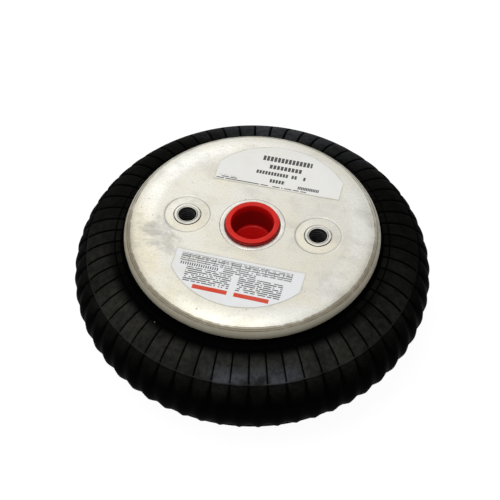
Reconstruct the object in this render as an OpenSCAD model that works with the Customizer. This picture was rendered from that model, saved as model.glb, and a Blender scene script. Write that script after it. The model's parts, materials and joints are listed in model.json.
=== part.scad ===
// Air bellows actuator: one ribbed rubber convolution crimped between two pressed bead plates.
// Millimetres, +Z up, origin at the centre of the lower mounting face.
// Sections are drawn as radius against depth below a mounting face, then revolved.

/* [Overall] */
// Distance between the two mounting faces at rest
rest_height = 76; // [72:1:84]
// Outside diameter of the convolution over its ribs
bellows_d = 191.5; // [184:0.5:200]

/* [Bead plates] */
// Outside diameter of a crimped plate
plate_d = 135; // [132:0.5:138]
// Thickness of the pressed sheet
plate_t = 1.6; // [1.3:0.1:1.8]
// Diameter of the flat mounting face
face_d = 100; // [98:0.5:104]
// Radius of the dome that falls from the face to the rim
dome_r = 38; // [34:1:46]
// Radial distance from the plate edge to the crease above the rim
crease_in = 2.5; // [2.2:0.1:3]
// Height of the step at the crease
crease_step = 0.35; // [0.2:0.05:0.5]
// Outer radius of the rolled rim
roll_r = 3.8; // [3.6:0.1:4.2]
// Length of the flat leg that turns in under the bead
curl_leg = 2.7; // [2.3:0.1:3.1]
// Diameter of the ring coined into the face round each nut
coin_d = 22.6; // [21:0.2:24]
// Depth of the coined ring
coin_depth = 0.6; // [0.3:0.1:0.8]
// Width of the sloped lip outside the coined ring
coin_lip = 1.3; // [1:0.1:1.6]

/* [Blind nuts] */
// Distance between the two nuts of a plate
nut_pitch = 69.85; // [66:0.05:72]
// Diameter of the threaded hole
thread_d = 9.525; // [8:0.005:10.5]
// Depth of the full thread
thread_depth = 14; // [12:0.5:15]
// Diameter of the nose that fills the hole in the plate
nut_nose_d = 14.5; // [13.5:0.1:16]
// Diameter of the flange under the plate
nut_flange_d = 22; // [20:0.5:25]
// Thickness of the flange
nut_flange_t = 2.5; // [2:0.1:3.5]
// Diameter of the closed barrel
nut_barrel_d = 16; // [14:0.5:18]
// Length of the nut below the mounting face
nut_h = 19.5; // [19:0.5:22]

/* [Air port] */
// Diameter of the boss nose that fills the plate centre
boss_nose_d = 34.2; // [32:0.2:36]
// Diameter of the boss flange under the plate
boss_flange_d = 42; // [39:0.5:45]
// Thickness of the boss flange
boss_flange_t = 3; // [2:0.1:4]
// Diameter of the boss body
boss_body_d = 36; // [33:0.5:38]
// Length of the boss below the mounting face
boss_h = 18; // [16.5:0.5:22]
// Diameter of the port
port_d = 25.6; // [24.4:0.1:26]
// Depth of the cone at the mouth of the port
port_mouth = 2; // [1.8:0.1:2.4]

/* [Port plug] */
// Diameter of the upper flange of the plug
plug_flange_d = 28; // [27:0.1:28.4]
// Height of the plug above the mounting face
plug_proud = 2.2; // [2:0.1:3]
// Thickness of the upper flange
plug_flange_t = 0.8; // [0.6:0.1:1]
// Diameter of the lower disc that closes the mouth
plug_disc_d = 28.6; // [28.2:0.1:29]
// Width of the groove between flange and disc
plug_groove_w = 0.4; // [0.3:0.1:0.6]
// Depth of that groove, inwards from the disc
plug_groove_in = 0.9; // [0.7:0.1:1.2]
// Wall of the plug cup
plug_wall = 1.2; // [1:0.1:1.5]
// Depth of the cup floor below the mounting face
cup_depth = 13.2; // [11:0.1:15]
// Amount by which the cup radius shrinks to its floor
cup_taper = 1.3; // [0.6:0.1:1.8]

/* [Bellows wall] */
// Thickness of the rubber cover between its ribs
cover_t = 1.8; // [1.4:0.1:2]
// Thickness of one cord ply
ply_t = 0.8; // [0.6:0.1:1]
// Thickness of the airtight liner
liner_t = 1.2; // [0.8:0.1:1.6]
// Shortest flat neck between the curl of a plate and the convolution
neck_w = 1; // [0.5:0.1:2]
// Diameter of the bead wire
wire_d = 2.4; // [2:0.1:2.6]
// Distance from the roll centre in to the bead wire
wire_in = 1.6; // [1.2:0.1:1.8]

/* [Ribs] */
// Number of moulded ribs
rib_count = 58; // [48:2:68]
// Height of a rib at the equator of the convolution
rib_h = 1.5; // [1.2:0.1:1.8]
// Amount by which a rib grows from the crown to the equator
rib_grow = 0.9; // [0.6:0.1:1.1]
// Width of the groove between two ribs at the equator
groove_w = 2.6; // [1.8:0.1:3.6]
// Angle from the X axis to the middle of the first groove
rib_turn = 1.6; // [0:0.1:6]
// Angle from the crown of the convolution to the start of the ribs
rib_start = 12.5; // [10:0.5:18]
// Angle from the crown to the rim band
band_start = 4; // [3:0.5:6]
// Width of the ring groove between rim band and ribs
ring_groove_w = 0.8; // [0.5:0.1:1.2]
// Height of the rim band above the grooves
band_h = 0.5; // [0.3:0.05:0.7]
// Angle from the crown to the ridge along the parting line of the mould
parting_at = 46.5; // [40:0.5:54]
// Width of that ridge
parting_w = 1; // [0.6:0.1:1.6]
// Height of the ridge above the grooves
parting_h = 1.4; // [1:0.05:1.6]

/* [Labels] */
// Radius of the round side of a label
label_r = 42.3; // [40:0.1:43]
// Width of a label
label_w = 68.4; // [62:0.2:70]
// Distance from the centre of the round side to the straight edge
label_edge = 12.4; // [11:0.1:15]
// Thickness of the film
film_t = 0.15; // [0.1:0.01:0.3]
// Distance of the upper label from the middle of the plate, to the right
type_label_x = 7; // [4:0.5:8]
// Distance from the plate edge to the round side of the upper label
type_label_in = 11.2; // [10:0.1:13]
// Slant of the upper label
type_label_turn = -1.3; // [-4:0.1:4]
// Distance from the plate edge to the round side of the lower label
data_label_in = 13.2; // [11:0.1:15]
// Slant of the lower label
data_label_turn = -2.6; // [-4:0.1:4]

/* [Clearances] */
// Gap round noses and wires that are pressed or cast in
fit_gap = 0.1; // [0.05:0.05:0.2]
// Gap between the layers of the bellows wall
layer_gap = 0.1; // [0.05:0.05:0.2]
// Gap between the bead and the sheet folded over it
bead_gap = 0.3; // [0.2:0.05:0.4]
// Gap between the neck of the bellows and the curl
neck_gap = 0.5; // [0.3:0.1:0.8]
// Gap between a label and the plate
film_gap = 0.02; // [0.01:0.01:0.05]
// Gap between the plug and its seat in the mouth
seat_gap = 0.25; // [0.2:0.05:0.35]
// Gap between the plug cup and the port
cup_gap = 0.3; // [0.2:0.05:0.5]

/* [Hidden] */
$fn = 120;

zinc = "#d8cfb8";
steel = "#8d8c88";
rubber = "#26282b";
cord = "#4b4238";
film = "#f1f0ea";
plug_red = "#cf3a26";

// Plate section
face_r = face_d / 2;
crease_r = plate_d / 2 - crease_in;
roll_at = plate_d / 2 - roll_r;
roll_depth = dome_drop(crease_r) + crease_step + sqrt(pow(roll_r, 2) - pow(crease_r - roll_at, 2));
tip_at = roll_at - curl_leg;
tip_depth = roll_depth + roll_r - plate_t / 2;
coin_r = coin_d / 2;
boss_hole_d = boss_nose_d + 2 * fit_gap;
nut_hole_d = nut_nose_d + 2 * fit_gap;

// Bellows section: a half circle, a flat neck under the curl, a bend round its tip and a leg up
neck_depth = roll_depth + roll_r + neck_gap;
conv_r = rest_height / 2 - neck_depth;
conv_at = max(bellows_d / 2 - rib_h - conv_r, tip_at + neck_w);
bend_r = neck_depth - tip_depth;
leg_depth = dome_drop(tip_at - bend_r) + plate_t + bead_gap;
outer_ply_in = cover_t + layer_gap;
inner_ply_in = outer_ply_in + ply_t + layer_gap;
liner_in = inner_ply_in + ply_t + layer_gap;
bead_r = roll_r - plate_t - bead_gap;
wire_at = roll_at - wire_in;
rib_root = cover_t / 3;
rib_pitch = 360 / rib_count;
groove_turn = 2 * asin(groove_w / bellows_d);
band_end = rib_start - ring_groove_w / (PI * conv_r) * 180;
parting_end = parting_at + parting_w / (PI * conv_r) * 180;

// Plug section
port_r = port_d / 2;
mouth_r = port_r + port_mouth;
disc_r = plug_disc_d / 2;
disc_depth = mouth_r - disc_r - seat_gap * sqrt(2);
cup_r = port_r - cup_gap;

cut_past = 2;
reach = bellows_d;

// Depth of the dome below the mounting face at radius r
function dome_drop(r) = dome_r - sqrt(pow(dome_r, 2) - pow(r - face_r, 2));

module ring(r_out, wall) {
    difference() {
        circle(r_out);
        circle(r_out - wall);
    }
}

module half_ring(r_out, wall) {
    intersection() {
        ring(r_out, wall);
        translate([0, -reach]) square([reach, 2 * reach]);
    }
}

module quarter_ring(r_out, wall) {
    intersection() {
        ring(r_out, wall);
        translate([-reach, 0]) square([reach, reach]);
    }
}

// Puts a solid drawn below the lower face under the upper face
module at_top() {
    translate([0, 0, rest_height]) mirror([0, 0, 1]) children();
}

// Repeats a section at both ends of the bellows
module both_ends() {
    children();
    translate([0, rest_height]) mirror([0, 1]) children();
}

module dome_section(r_out, wall, r_end) {
    translate([face_r, dome_r]) intersection() {
        ring(r_out, wall);
        translate([0, -2 * dome_r]) square([r_end - face_r, 2 * dome_r]);
    }
}

module plate_section() {
    square([face_r, plate_t]);
    dome_section(dome_r, plate_t, crease_r);
    translate([roll_at, roll_depth]) half_ring(roll_r, plate_t);
    translate([tip_at, tip_depth - plate_t / 2]) square([curl_leg, plate_t]);
    translate([tip_at, tip_depth]) mirror([1, 0]) half_ring(plate_t / 2, plate_t / 2);
}

module nut_seat_cut() {
    translate([0, 0, -cut_past]) cylinder(d = nut_hole_d, h = plate_t + 2 * cut_past);
    rotate_extrude() polygon([
        [nut_nose_d / 2, -cut_past], [nut_nose_d / 2, 0], [coin_r, coin_depth],
        [coin_r + coin_lip, 0], [coin_r + coin_lip, -cut_past]
    ]);
}

module pressed_plate() {
    difference() {
        rotate_extrude() plate_section();
        for (side = [-1, 1]) translate([side * nut_pitch / 2, 0, 0]) nut_seat_cut();
    }
}

module blind_nut() {
    thread_r = thread_d / 2;
    nose_r = nut_nose_d / 2;
    flange_r = nut_flange_d / 2;
    barrel_r = nut_barrel_d / 2;
    under = plate_t + nut_flange_t;
    edge = 0.4;
    drill_tip = thread_r / 2;
    rotate_extrude() polygon([
        [thread_r + edge, 0], [nose_r, 0], [nose_r, plate_t], [flange_r, plate_t],
        [flange_r, under], [barrel_r, under], [barrel_r, nut_h - edge], [barrel_r - edge, nut_h],
        [0, nut_h], [0, thread_depth + drill_tip], [thread_r, thread_depth], [thread_r, edge]
    ]);
}

module bead_filler() {
    channel = wire_d / 2 + fit_gap;
    inner_r = tip_at - bend_r + bead_gap;
    rotate_extrude() difference() {
        union() {
            translate([inner_r, roll_depth - bead_r]) square([roll_at - inner_r, 2 * bead_r]);
            translate([roll_at, roll_depth]) half_ring(bead_r, bead_r);
        }
        translate([wire_at, roll_depth]) circle(channel);
        translate([inner_r - cut_past, roll_depth - channel])
            square([wire_at - inner_r + cut_past, 2 * channel]);
    }
}

module bead_wire() {
    rotate_extrude() translate([wire_at, roll_depth]) circle(wire_d / 2);
}

// One layer of the bellows wall, starting some way in from the bottom of the grooves, with any bands added
module wall_layer(start, thick) {
    rotate_extrude() {
        children();
        translate([conv_at, rest_height / 2]) half_ring(conv_r - start, thick);
        both_ends() {
            translate([tip_at, neck_depth + start]) square([conv_at - tip_at, thick]);
            translate([tip_at, tip_depth]) quarter_ring(bend_r + start + thick, thick);
            translate([tip_at - bend_r - start - thick, leg_depth]) square([thick, tip_depth - leg_depth]);
        }
    }
}

// Part of the convolution's section between two angles from its crown, raised over the wall
module raised_section(from, to, height, grow = 0) {
    translate([conv_at, rest_height / 2]) intersection() {
        difference() {
            translate([grow, 0]) circle(conv_r + height - grow);
            circle(conv_r - rib_root);
        }
        polygon([
            [0, 0], reach * [sin(from), -cos(from)], reach * [1, -cos(from)],
            reach * [1, -cos(to)], reach * [sin(to), -cos(to)]
        ]);
    }
}

// Between two ribs the groove keeps its angle, so it narrows from the equator towards the crown
module rib() {
    rotate([0, 0, groove_turn / 2]) rotate_extrude(angle = rib_pitch - groove_turn)
        raised_section(rib_start, 180 - rib_start, rib_h, rib_grow);
}

module label_outline() {
    intersection() {
        circle(label_r);
        translate([-label_w / 2, label_edge]) square([label_w, label_r]);
    }
}

// Film that follows the flat face and the dome inside a label outline
module label_film() {
    under = film_gap + film_t;
    at_top() intersection() {
        rotate_extrude() {
            translate([0, -under]) square([face_r, film_t]);
            dome_section(dome_r + under, film_t, crease_r);
        }
        translate([0, 0, -cut_past]) linear_extrude(plate_d) children();
    }
}

module bottom_bead_plate() {
    color(zinc) pressed_plate();
}

module bottom_blind_nut(side) {
    color(steel) translate([side * nut_pitch / 2, 0, 0]) blind_nut();
}

module lower_bead_filler() {
    color(rubber) bead_filler();
}

module lower_bead_wire() {
    color(steel) bead_wire();
}

module bellows_cover() {
    color(rubber) union() {
        wall_layer(0, cover_t) both_ends() {
            raised_section(band_start, band_end, band_h);
            raised_section(parting_at, parting_end, parting_h);
        }
        for (i = [0 : rib_count - 1]) rotate([0, 0, rib_turn + i * rib_pitch]) rib();
    }
}

module outer_cord_ply() {
    color(cord) wall_layer(outer_ply_in, ply_t);
}

module inner_cord_ply() {
    color(cord) wall_layer(inner_ply_in, ply_t);
}

module inner_liner() {
    color(rubber) wall_layer(liner_in, liner_t);
}

module top_bead_plate() {
    color(zinc) at_top() difference() {
        pressed_plate();
        translate([0, 0, -cut_past]) cylinder(d = boss_hole_d, h = plate_t + 2 * cut_past);
    }
}

module top_blind_nut(side) {
    color(steel) at_top() translate([side * nut_pitch / 2, 0, 0]) blind_nut();
}

module air_port_boss() {
    nose_r = boss_nose_d / 2;
    flange_r = boss_flange_d / 2;
    body_r = boss_body_d / 2;
    under = plate_t + boss_flange_t;
    color(zinc) at_top() rotate_extrude() polygon([
        [mouth_r, 0], [nose_r, 0], [nose_r, plate_t], [flange_r, plate_t], [flange_r, under],
        [body_r, under], [body_r, boss_h], [port_r, boss_h], [port_r, port_mouth]
    ]);
}

module upper_bead_filler() {
    color(rubber) at_top() bead_filler();
}

module upper_bead_wire() {
    color(steel) at_top() bead_wire();
}

module type_label() {
    up = plate_d / 2 - type_label_in - label_r;
    color(film) label_film() translate([type_label_x, up]) rotate(type_label_turn) label_outline();
}

module data_label() {
    down = plate_d / 2 - data_label_in - label_r;
    color(film) label_film() translate([0, -down]) rotate(180 + data_label_turn) label_outline();
}

module port_plug() {
    flange_r = plug_flange_d / 2;
    groove_r = disc_r - plug_groove_in;
    groove_top = plug_flange_t - plug_proud;
    floor_depth = cup_depth + plug_wall;
    color(plug_red) at_top() rotate_extrude() polygon([
        [cup_r - plug_wall, -plug_proud], [flange_r, -plug_proud], [flange_r, groove_top],
        [groove_r, groove_top], [groove_r, groove_top + plug_groove_w],
        [disc_r, groove_top + plug_groove_w], [disc_r, disc_depth], [cup_r, disc_depth],
        [cup_r - cup_taper, floor_depth], [0, floor_depth], [0, cup_depth],
        [cup_r - cup_taper - plug_wall, cup_depth]
    ]);
}

bottom_bead_plate();
bottom_blind_nut(-1);  // bottom_blind_nut_left
bottom_blind_nut(1);  // bottom_blind_nut_right
lower_bead_filler();
lower_bead_wire();
bellows_cover();
outer_cord_ply();
inner_cord_ply();
inner_liner();
top_bead_plate();
top_blind_nut(-1);  // top_blind_nut_left
top_blind_nut(1);  // top_blind_nut_right
air_port_boss();
upper_bead_filler();
upper_bead_wire();
type_label();
data_label();
port_plug();
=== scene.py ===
import json
import math

import bpy
from mathutils import Euler, Matrix, Vector


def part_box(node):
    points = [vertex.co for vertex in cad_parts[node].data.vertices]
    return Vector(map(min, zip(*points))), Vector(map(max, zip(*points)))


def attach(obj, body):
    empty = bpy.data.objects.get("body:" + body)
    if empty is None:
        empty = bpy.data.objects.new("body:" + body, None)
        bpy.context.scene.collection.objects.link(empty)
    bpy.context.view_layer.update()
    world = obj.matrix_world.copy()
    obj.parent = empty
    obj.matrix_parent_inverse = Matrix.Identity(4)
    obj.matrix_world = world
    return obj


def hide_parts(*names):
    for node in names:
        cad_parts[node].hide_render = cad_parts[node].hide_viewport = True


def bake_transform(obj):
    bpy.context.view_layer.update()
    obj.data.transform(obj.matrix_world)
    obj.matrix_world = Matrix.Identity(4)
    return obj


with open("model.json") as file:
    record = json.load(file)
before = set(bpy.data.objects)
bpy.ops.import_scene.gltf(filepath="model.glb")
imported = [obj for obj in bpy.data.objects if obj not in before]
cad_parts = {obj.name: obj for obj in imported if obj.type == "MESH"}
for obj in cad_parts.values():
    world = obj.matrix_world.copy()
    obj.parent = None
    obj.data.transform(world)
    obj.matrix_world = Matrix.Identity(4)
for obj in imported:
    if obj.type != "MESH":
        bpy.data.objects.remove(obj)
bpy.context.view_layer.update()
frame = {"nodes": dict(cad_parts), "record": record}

mm = 0.001
scene = bpy.context.scene
for stray in ("Cube", "Light", "Camera"):  # what a fresh Blender file starts with
    if stray in bpy.data.objects:
        bpy.data.objects.remove(bpy.data.objects[stray])

# sizes that the frame gives, in millimetres
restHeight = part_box("top_bead_plate")[1].z / mm
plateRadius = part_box("top_bead_plate")[1].x / mm
nutDims = frame["record"]["mounts"][0]["dims"]
nutPitch = nutDims["spacing_x_mm"]
threadRadius = nutDims["hole_r_mm"]
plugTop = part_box("port_plug")[1].z / mm - restHeight
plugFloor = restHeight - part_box("port_plug")[0].z / mm
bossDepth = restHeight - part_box("air_port_boss")[0].z / mm
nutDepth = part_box("bottom_blind_nut_left")[1].z / mm
creaseRadius = plateRadius - 2.5  # the crease between a plate's dome and its roll
print("frame: plate radius", round(plateRadius, 2), "rest height", round(restHeight, 2))


def added(name, data):  # a new object in the scene
    made = bpy.data.objects.new(name, data)
    scene.collection.objects.link(made)
    return made


# Camera and light

cameraSet = {
    "lens": 114.2,
    "sensor": 36.0,
    "place": (109.08922, -513.66524, 717.34451),  # mm
    "turn": (38.390078, 0, 12.125246),  # degrees, tilt from straight down and turn round Z
}


def placeCamera():
    data = bpy.data.cameras.new("photoCamera")
    data.lens = cameraSet["lens"]
    data.sensor_width = cameraSet["sensor"]
    camera = added("photoCamera", data)
    turn = Euler([math.radians(angle) for angle in cameraSet["turn"]])
    camera.matrix_world = Matrix.LocRotScale(Vector(cameraSet["place"]) * mm, turn, None)
    scene.camera = camera


lightSet = {
    "world": 0.54,
    "lamps": (  # name, place, size, power and tone
        ("overhead", (-0.15, -0.4, 1.3), 0.65, 4.9, (0.95, 0.98, 1.0)),
        ("leftFill", (-1.1, -0.5, 0.75), 0.6, 2.2, (1.0, 0.98, 0.94)),
        ("backFill", (-0.6, 1.1, 0.9), 0.6, 1.2, (1.0, 1.0, 1.0)),
    ),
    "floorSize": 8.0,
    "floorDrop": 0.2,  # mm
    "floorGlow": 0.94,
    "floorShade": 0.12,
}


def isSocket(value):
    return isinstance(value, bpy.types.NodeSocket)


def feed(made, inputs):  # links a socket, sets a value
    for key, value in inputs.items():
        if isSocket(value):
            made.id_data.links.new(value, made.inputs[key])
        else:
            made.inputs[key].default_value = value
    return made


def source(tree, kind, inputs=None, **settings):
    made = tree.nodes.new(kind)
    for key, value in settings.items():
        setattr(made, key, value)
    return feed(made, inputs or {})


def node(kind, inputs, **settings):  # a node in the tree of the sockets that it takes
    tree = next(value.id_data for value in inputs.values() if isSocket(value))
    return source(tree, kind, inputs, **settings)


def first(kind, inputs, **settings):
    return node(kind, inputs, **settings).outputs[0]


def calc(operation, a, b=0.0, c=0.0, clamp=False):
    return first("ShaderNodeMath", {0: a, 1: b, 2: c}, operation=operation, use_clamp=clamp)


def times(value, *others):
    for other in others:
        value = calc("MULTIPLY", value, other)
    return value


def plus(value, share, start, clamp=False):  # start and a share of value
    return calc("MULTIPLY_ADD", value, share, start, clamp)


def between(share, low, high):  # low where share is 0, high where it is 1
    return plus(share, high - low, low)


def minus(a, b):
    return calc("SUBTRACT", a, b)


def over(a, b, clamp=False):
    return calc("DIVIDE", a, b, clamp=clamp)


def most(value, *others):
    for other in others:
        value = calc("MAXIMUM", value, other)
    return value


def seenDirectly(tree):  # 1 for what the eye, a mirror or glass sees of the backdrop
    path = source(tree, "ShaderNodeLightPath").outputs
    return most(path["Is Camera Ray"], path["Is Glossy Ray"], path["Is Transmission Ray"])


def emptyTree(holder):
    holder.use_nodes = True
    holder.node_tree.nodes.clear()
    return holder.node_tree


def lightStage():
    world = bpy.data.worlds.new("studio")
    tree = emptyTree(world)
    strength = between(seenDirectly(tree), lightSet["world"], 1)
    glow = node("ShaderNodeBackground", {"Color": (1, 1, 1, 1), "Strength": strength})
    node("ShaderNodeOutputWorld", {"Surface": glow.outputs[0]})
    scene.world = world
    for name, place, size, power, tone in lightSet["lamps"]:
        data = bpy.data.lights.new(name, "AREA")
        data.size = size
        data.energy = power
        data.color = tone
        light = added(name, data)
        light.location = place
        light.rotation_euler = (-Vector(place)).to_track_quat("-Z", "Y").to_euler()
    half = lightSet["floorSize"] / 2
    corners = [(-half, -half, 0), (half, -half, 0), (half, half, 0), (-half, half, 0)]
    mesh = bpy.data.meshes.new("floor")
    mesh.from_pydata(corners, [], [(0, 1, 2, 3)])
    floor = added("floor", mesh)
    floor.location.z = -lightSet["floorDrop"] * mm
    finish = bpy.data.materials.new("paleFloor")
    tree = emptyTree(finish)
    shade = source(tree, "ShaderNodeBsdfDiffuse", {"Color": (lightSet["floorShade"],) * 3 + (1,)})
    light = times(seenDirectly(tree), lightSet["floorGlow"])
    glow = node("ShaderNodeEmission", {"Color": (1, 1, 1, 1), "Strength": light})
    both = node("ShaderNodeAddShader", {0: shade.outputs[0], 1: glow.outputs[0]})
    node("ShaderNodeOutputMaterial", {"Surface": both.outputs[0]})
    mesh.materials.append(finish)


placeCamera()
lightStage()
scene.view_settings.view_transform = "Standard"
print("camera and light placed")


# Finishes: they measure in mm from the frame's origin

def newFinish(name):
    finish = bpy.data.materials.new(name)
    finish.use_nodes = True
    return finish, source(finish.node_tree, "ShaderNodeTexCoord").outputs["Object"]


def coat(finish, colour, rough, relief, metal=0.0, shine=0.5):
    feed(finish.node_tree.nodes["Principled BSDF"], {
        "Base Color": colour, "Roughness": rough, "Normal": relief,
        "Metallic": metal, "Specular IOR Level": shine,
    })
    return finish


def noise(where, size, detail=3.0, rough=0.55, warp=0.0):  # size of a patch in mm
    inputs = {"Scale": 1 / (size * mm), "Detail": detail, "Roughness": rough, "Distortion": warp}
    return first("ShaderNodeTexNoise", dict(inputs, Vector=where))


def ramp(value, low, high):  # 0 below low, 1 above high
    inputs = {"Value": value, "From Min": low, "From Max": high}
    return first("ShaderNodeMapRange", inputs, interpolation_type="SMOOTHSTEP")


def fade(value, low, high):  # 1 below low, 0 above high
    return minus(1.0, ramp(value, low, high))


def mix(share, a, b):
    return node("ShaderNodeMix", {0: share, 6: a, 7: b}, data_type="RGBA").outputs[2]


def stretched(where, scale, turn):
    inputs = {"Vector": where, "Scale": scale, "Rotation": (0, 0, math.radians(turn))}
    return first("ShaderNodeMapping", inputs)


def bump(height, depth, strength):
    inputs = {"Height": height, "Distance": depth * mm, "Strength": strength}
    return first("ShaderNodeBump", inputs)


def tint(red, green, blue):
    return (red, green, blue, 1.0)


def stored(where, name):  # a value that the mesh carries
    return source(where.id_data, "ShaderNodeAttribute", attribute_name=name).outputs["Fac"]


def axes(where):  # x, y and z in mm
    inMm = first("ShaderNodeVectorMath", {0: where, "Scale": 1 / mm}, operation="SCALE")
    return tuple(node("ShaderNodeSeparateXYZ", {0: inMm}).outputs)


def fromAxis(x, y):
    flat = first("ShaderNodeCombineXYZ", {"X": x, "Y": y})
    return node("ShaderNodeVectorMath", {0: flat}, operation="LENGTH").outputs["Value"]


def apart(value, middle):  # distance from the middle, either way
    return calc("ABSOLUTE", minus(value, middle))


zincSet = {
    "silver": tint(0.76, 0.745, 0.675),
    # a straw tone, which the seats' painted shade uses too
    "straw": tint(0.77, 0.715, 0.565),
    # the painted highlight on the dome's shoulder
    "bright": tint(0.90, 0.89, 0.845),
    # tone of smudges, and of painted shade
    "smudgeAndShadeTint": tint(0.33, 0.32, 0.295),
    "grain": tint(0.40, 0.385, 0.34),
    "scratch": tint(0.30, 0.29, 0.27),
    # tone of the painted shade near the crease, and of the dirt in the crease
    "soilAndShade": tint(0.30, 0.268, 0.205),
    "stain": tint(0.09, 0.076, 0.055),
    # colour of the painted shade on the roll
    "rim": tint(0.235, 0.220, 0.165),
    "metal": 0.8,
    "rough": 0.28,
    "patches": (34, 4, 0.6, 0.6),  # noise: size, detail, roughness and warp
    "grains": (0.8, 2),
    "smears": (21, 6, 0.68, 0.25),
    "scratches": (18, 2, 0.4, 0.3),
    "specks": (1.9, 1, 0.4),
    "soilAndShadeNoise": (7, 5, 0.7),
    "cuts": {  # where a noise begins to show, and where it shows in full
        "warm": (0.40, 0.70), "smear": (0.46, 0.68), "grain": (0.35, 0.75), "scratch": (0.70, 0.74),
        "field": (0.45, 0.6), "speck": (0.765, 0.80), "soft": (0.25, 0.65), "crease": (0.10, 0.55),
        "dirt": (0.28, 0.60),
    },
    "smearRun": ((1, 1.5, 1), 25),  # stretch, and degrees of turn
    "scratchRun": ((1, 40, 1), 62),
    "rightShade": (-40, 70),  # along X, painted shade: the plate darkens towards the right
    "rightShadeShare": 0.17,
    "front": (-15, -55),  # along Y
    "nearHalf": (30, -25),
    "warmCorner": (-30, -75),  # along X plus Y, the dome is yellower at the front left
    "warmDome": (48, 56),  # from the axis, as are the next three
    "shoulderIn": (49, 54),  # a painted highlight along the dome's shoulder begins
    "shoulderOut": (58, 63),  # and ends
    "wornRim": (58, 64),
    "shoulderShift": -5.0,  # the painted highlight lies further out at the front
    "shoulderShare": (0.6, 0.2),  # at the back and at the front
    "smearAt": (-47, -17),  # the most smudged spot
    "smearReach": (22, 6),
    "smearShare": (0.24, 0.69),  # far from that spot and on it
    "rollEdge": 0.6,  # the roll's tone begins over this width
    "rollShare": 0.44,  # painted shade on the roll, darker towards the front
    "rollFront": 0.20,
    "creaseShadeIn": 6.8,  # from the plate edge, where the painted shade before the crease begins to fade in
    "softFront": -0.45,
    "creaseShadeShare": (0.25, 0.75),
    "creaseDirtAndShade": (0.5, 1.1),  # from the crease, a band of dirt and painted shade
    "creaseShare": (0.45, 1.0),  # at the back and at the front
    "lineOff": 0.8,  # from the crease to each of the two dirt lines
    "lineHalf": (0.08, 0.36),
    "seat": (12, 10),  # from a nut's axis, painted shade makes the seat yellower towards the front
    "seatFront": (4, -7),
    "seatLine": 12.0,  # radius of the faint line round a seat, dirt and painted shade along its lip
    "seatHalf": (0.1, 0.5),
    "shares": {"corner": 0.5, "warm": 0.7, "rim": 0.2, "grain": 0.30, "scratch": 0.35, "speck": 0.55,
               "dirt": 0.8, "seat": 0.55, "line": 1.5},
    "roughBy": (0.3, 0.20, 0.10),  # on the roll, in smears and by grain
    "scratchDepth": -0.6,
    "relief": (0.03, 0.3),  # depth in mm, and strength
}


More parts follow.
